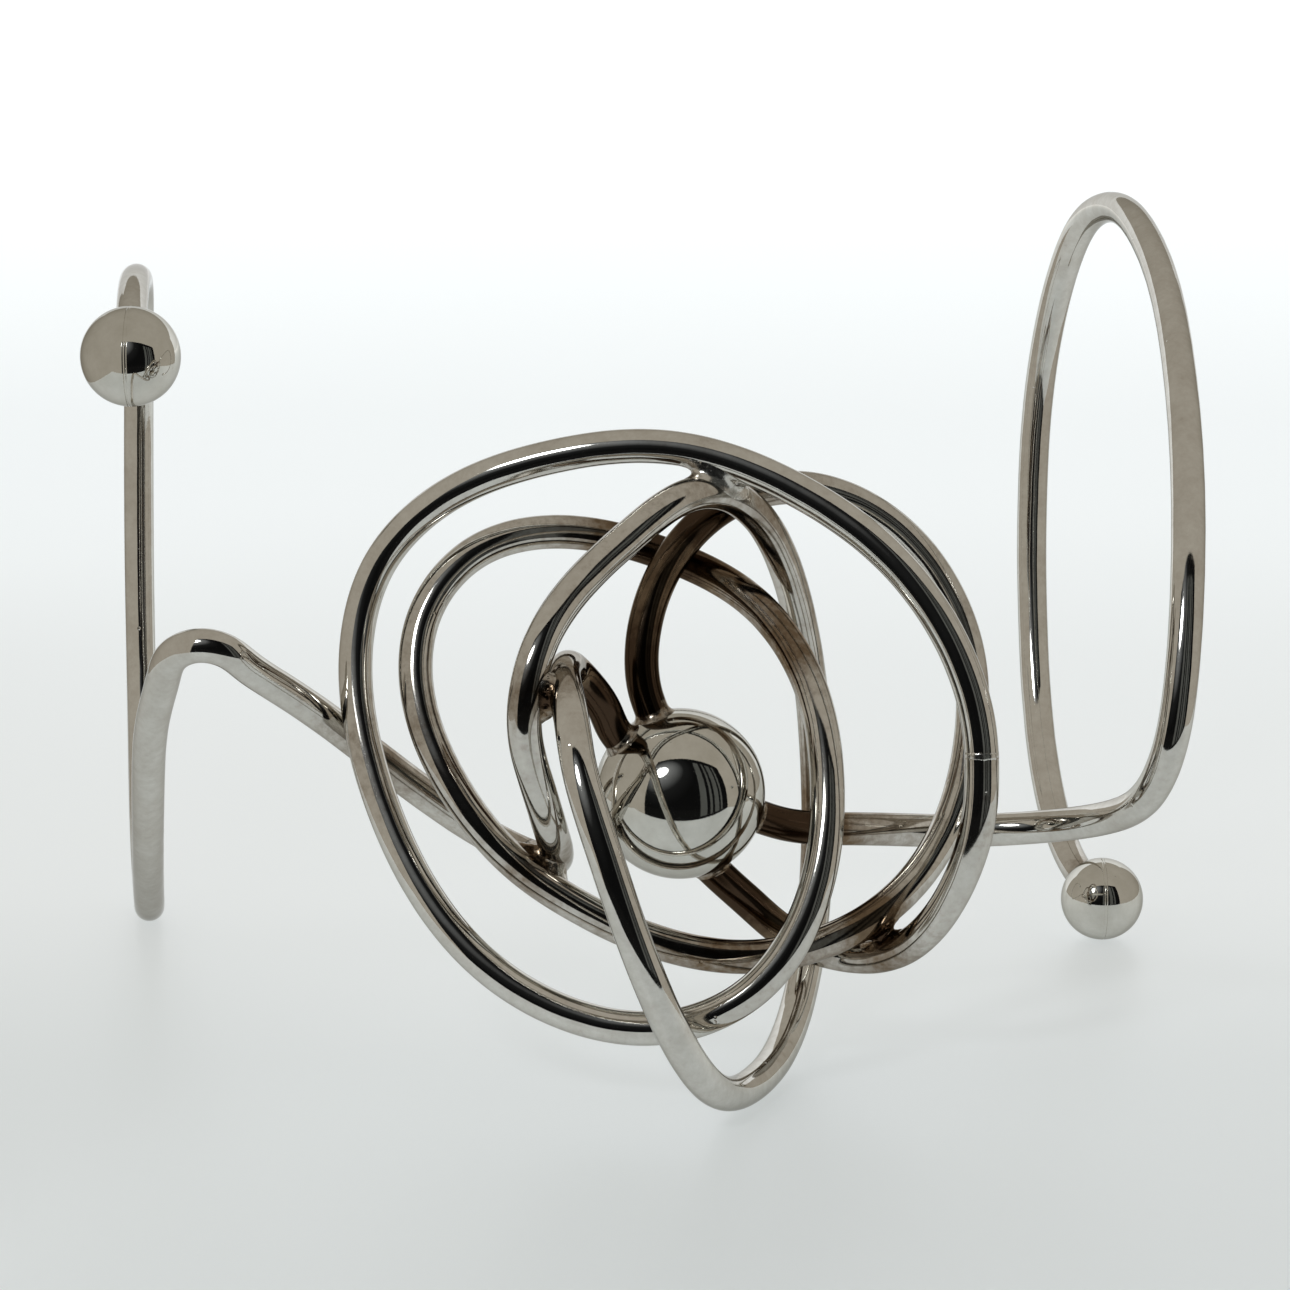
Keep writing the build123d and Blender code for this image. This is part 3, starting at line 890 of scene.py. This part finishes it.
def floor():
    """A pale sheet with a faint painted glow that is brighter away from the front: painted light standing in
    for the light from behind that falls on it.
    """
    size = 9.0
    mesh = bpy.data.meshes.new("floor")
    corners = [(-size, -size, 0), (size, -size, 0), (size, size, 0), (-size, size, 0)]
    mesh.from_pydata(corners, [], [(0, 1, 2, 3)])
    piece = bpy.data.objects.new("floor", mesh)
    bpy.context.scene.collection.objects.link(piece)
    material = bpy.data.materials.new("floor_painted_backlight")
    material.use_nodes = True
    tree = material.node_tree
    tree.nodes.clear()
    out = tree.nodes.new("ShaderNodeOutputMaterial")
    both = tree.nodes.new("ShaderNodeAddShader")
    paper = tree.nodes.new("ShaderNodeBsdfPrincipled")
    paper.inputs["Base Color"].default_value = (0.30, 0.31, 0.31, 1)
    paper.inputs["Roughness"].default_value = 0.42
    glow = tree.nodes.new("ShaderNodeEmission")
    place = tree.nodes.new("ShaderNodeTexCoord").outputs["Object"]
    parts = tree.nodes.new("ShaderNodeSeparateXYZ")
    link(tree, place, parts.inputs["Vector"])
    # Painted light: the glow rises from the front towards the back, in place of the back light falling on
    # the floor.
    depth = spread(tree, parts.outputs["Y"], -0.10, 1.20, 0.0, 1.0)
    shade = ramp(tree, depth, [
        (0.00, (0.46, 0.485, 0.485)), (0.06, (0.45, 0.475, 0.475)), (0.10, (0.50, 0.52, 0.52)),
        (0.18, (0.47, 0.49, 0.49)), (0.31, (0.47, 0.49, 0.49)), (0.53, (0.58, 0.60, 0.60)),
        (1.00, (0.80, 0.81, 0.81)),
    ])
    link(tree, shade, glow.inputs["Color"])
    link(tree, paper.outputs["BSDF"], both.inputs[0])
    link(tree, glow.outputs["Emission"], both.inputs[1])
    link(tree, both.outputs["Shader"], out.inputs["Surface"])
    mesh.materials.append(material)


def camera():
    """Low in front, looking slightly down, as the photograph was taken."""
    data = bpy.data.cameras.new("camera")
    data.lens = 113.58
    data.sensor_width = 36.0
    data.clip_start = 0.01
    data.clip_end = 30.0
    piece = bpy.data.objects.new("camera", data)
    piece.location = (1.8 * MM, -365.99 * MM, 121.08 * MM)
    piece.rotation_euler = (math.radians(76.5), 0.0, 0.0)
    bpy.context.scene.collection.objects.link(piece)
    bpy.context.scene.camera = piece


# ---------------------------------------------------------------- build

camera()
wire_silver = silver_wire()
ball_silver = silver_ball()
solder_silver = silver_solder()

LINES = {}
for wire, (route, first, last, _) in WIRES.items():
    LINES[wire] = centreline(route, first, last, 0.2 * MM)[:2]
    wire_piece(wire, wire_silver)

half_shell("centre_ball_front_shell", CENTRE_BALL, CENTRE_BALL_RADIUS, (0, -1, 0), ball_silver)
half_shell("centre_ball_rear_shell", CENTRE_BALL, CENTRE_BALL_RADIUS, (0, 1, 0), ball_silver,
           hole=VENT_RADIUS)
half_shell("left_ball_inner_shell", LEFT_BALL, LEFT_BALL_RADIUS, (1, 0, 0), ball_silver)
half_shell("left_ball_outer_shell", LEFT_BALL, LEFT_BALL_RADIUS, (-1, 0, 0), ball_silver)
half_shell("right_ball_inner_shell", RIGHT_BALL, RIGHT_BALL_RADIUS, (-1, 0, 0), ball_silver)
half_shell("right_ball_outer_shell", RIGHT_BALL, RIGHT_BALL_RADIUS, (1, 0, 0), ball_silver)
seam_ring("centre_ball_seam_solder", CENTRE_BALL, CENTRE_BALL_RADIUS, (0, 1, 0), ball_silver)
seam_ring("left_ball_seam_solder", LEFT_BALL, LEFT_BALL_RADIUS, (1, 0, 0), ball_silver)
seam_ring("right_ball_seam_solder", RIGHT_BALL, RIGHT_BALL_RADIUS, (1, 0, 0), ball_silver)

for node, job in SOLDER.items():
    solder_piece(node, job, solder_silver)
butt_seam("side_seam_solder", SIDE_JOINT, SIDE_DIRECTION, solder_silver)
butt_seam("hidden_seam_solder", HIDDEN_JOINT, HIDDEN_DIRECTION, solder_silver)

bright_world()
light_tent()
floor()
bpy.context.scene.view_settings.view_transform = "Standard"
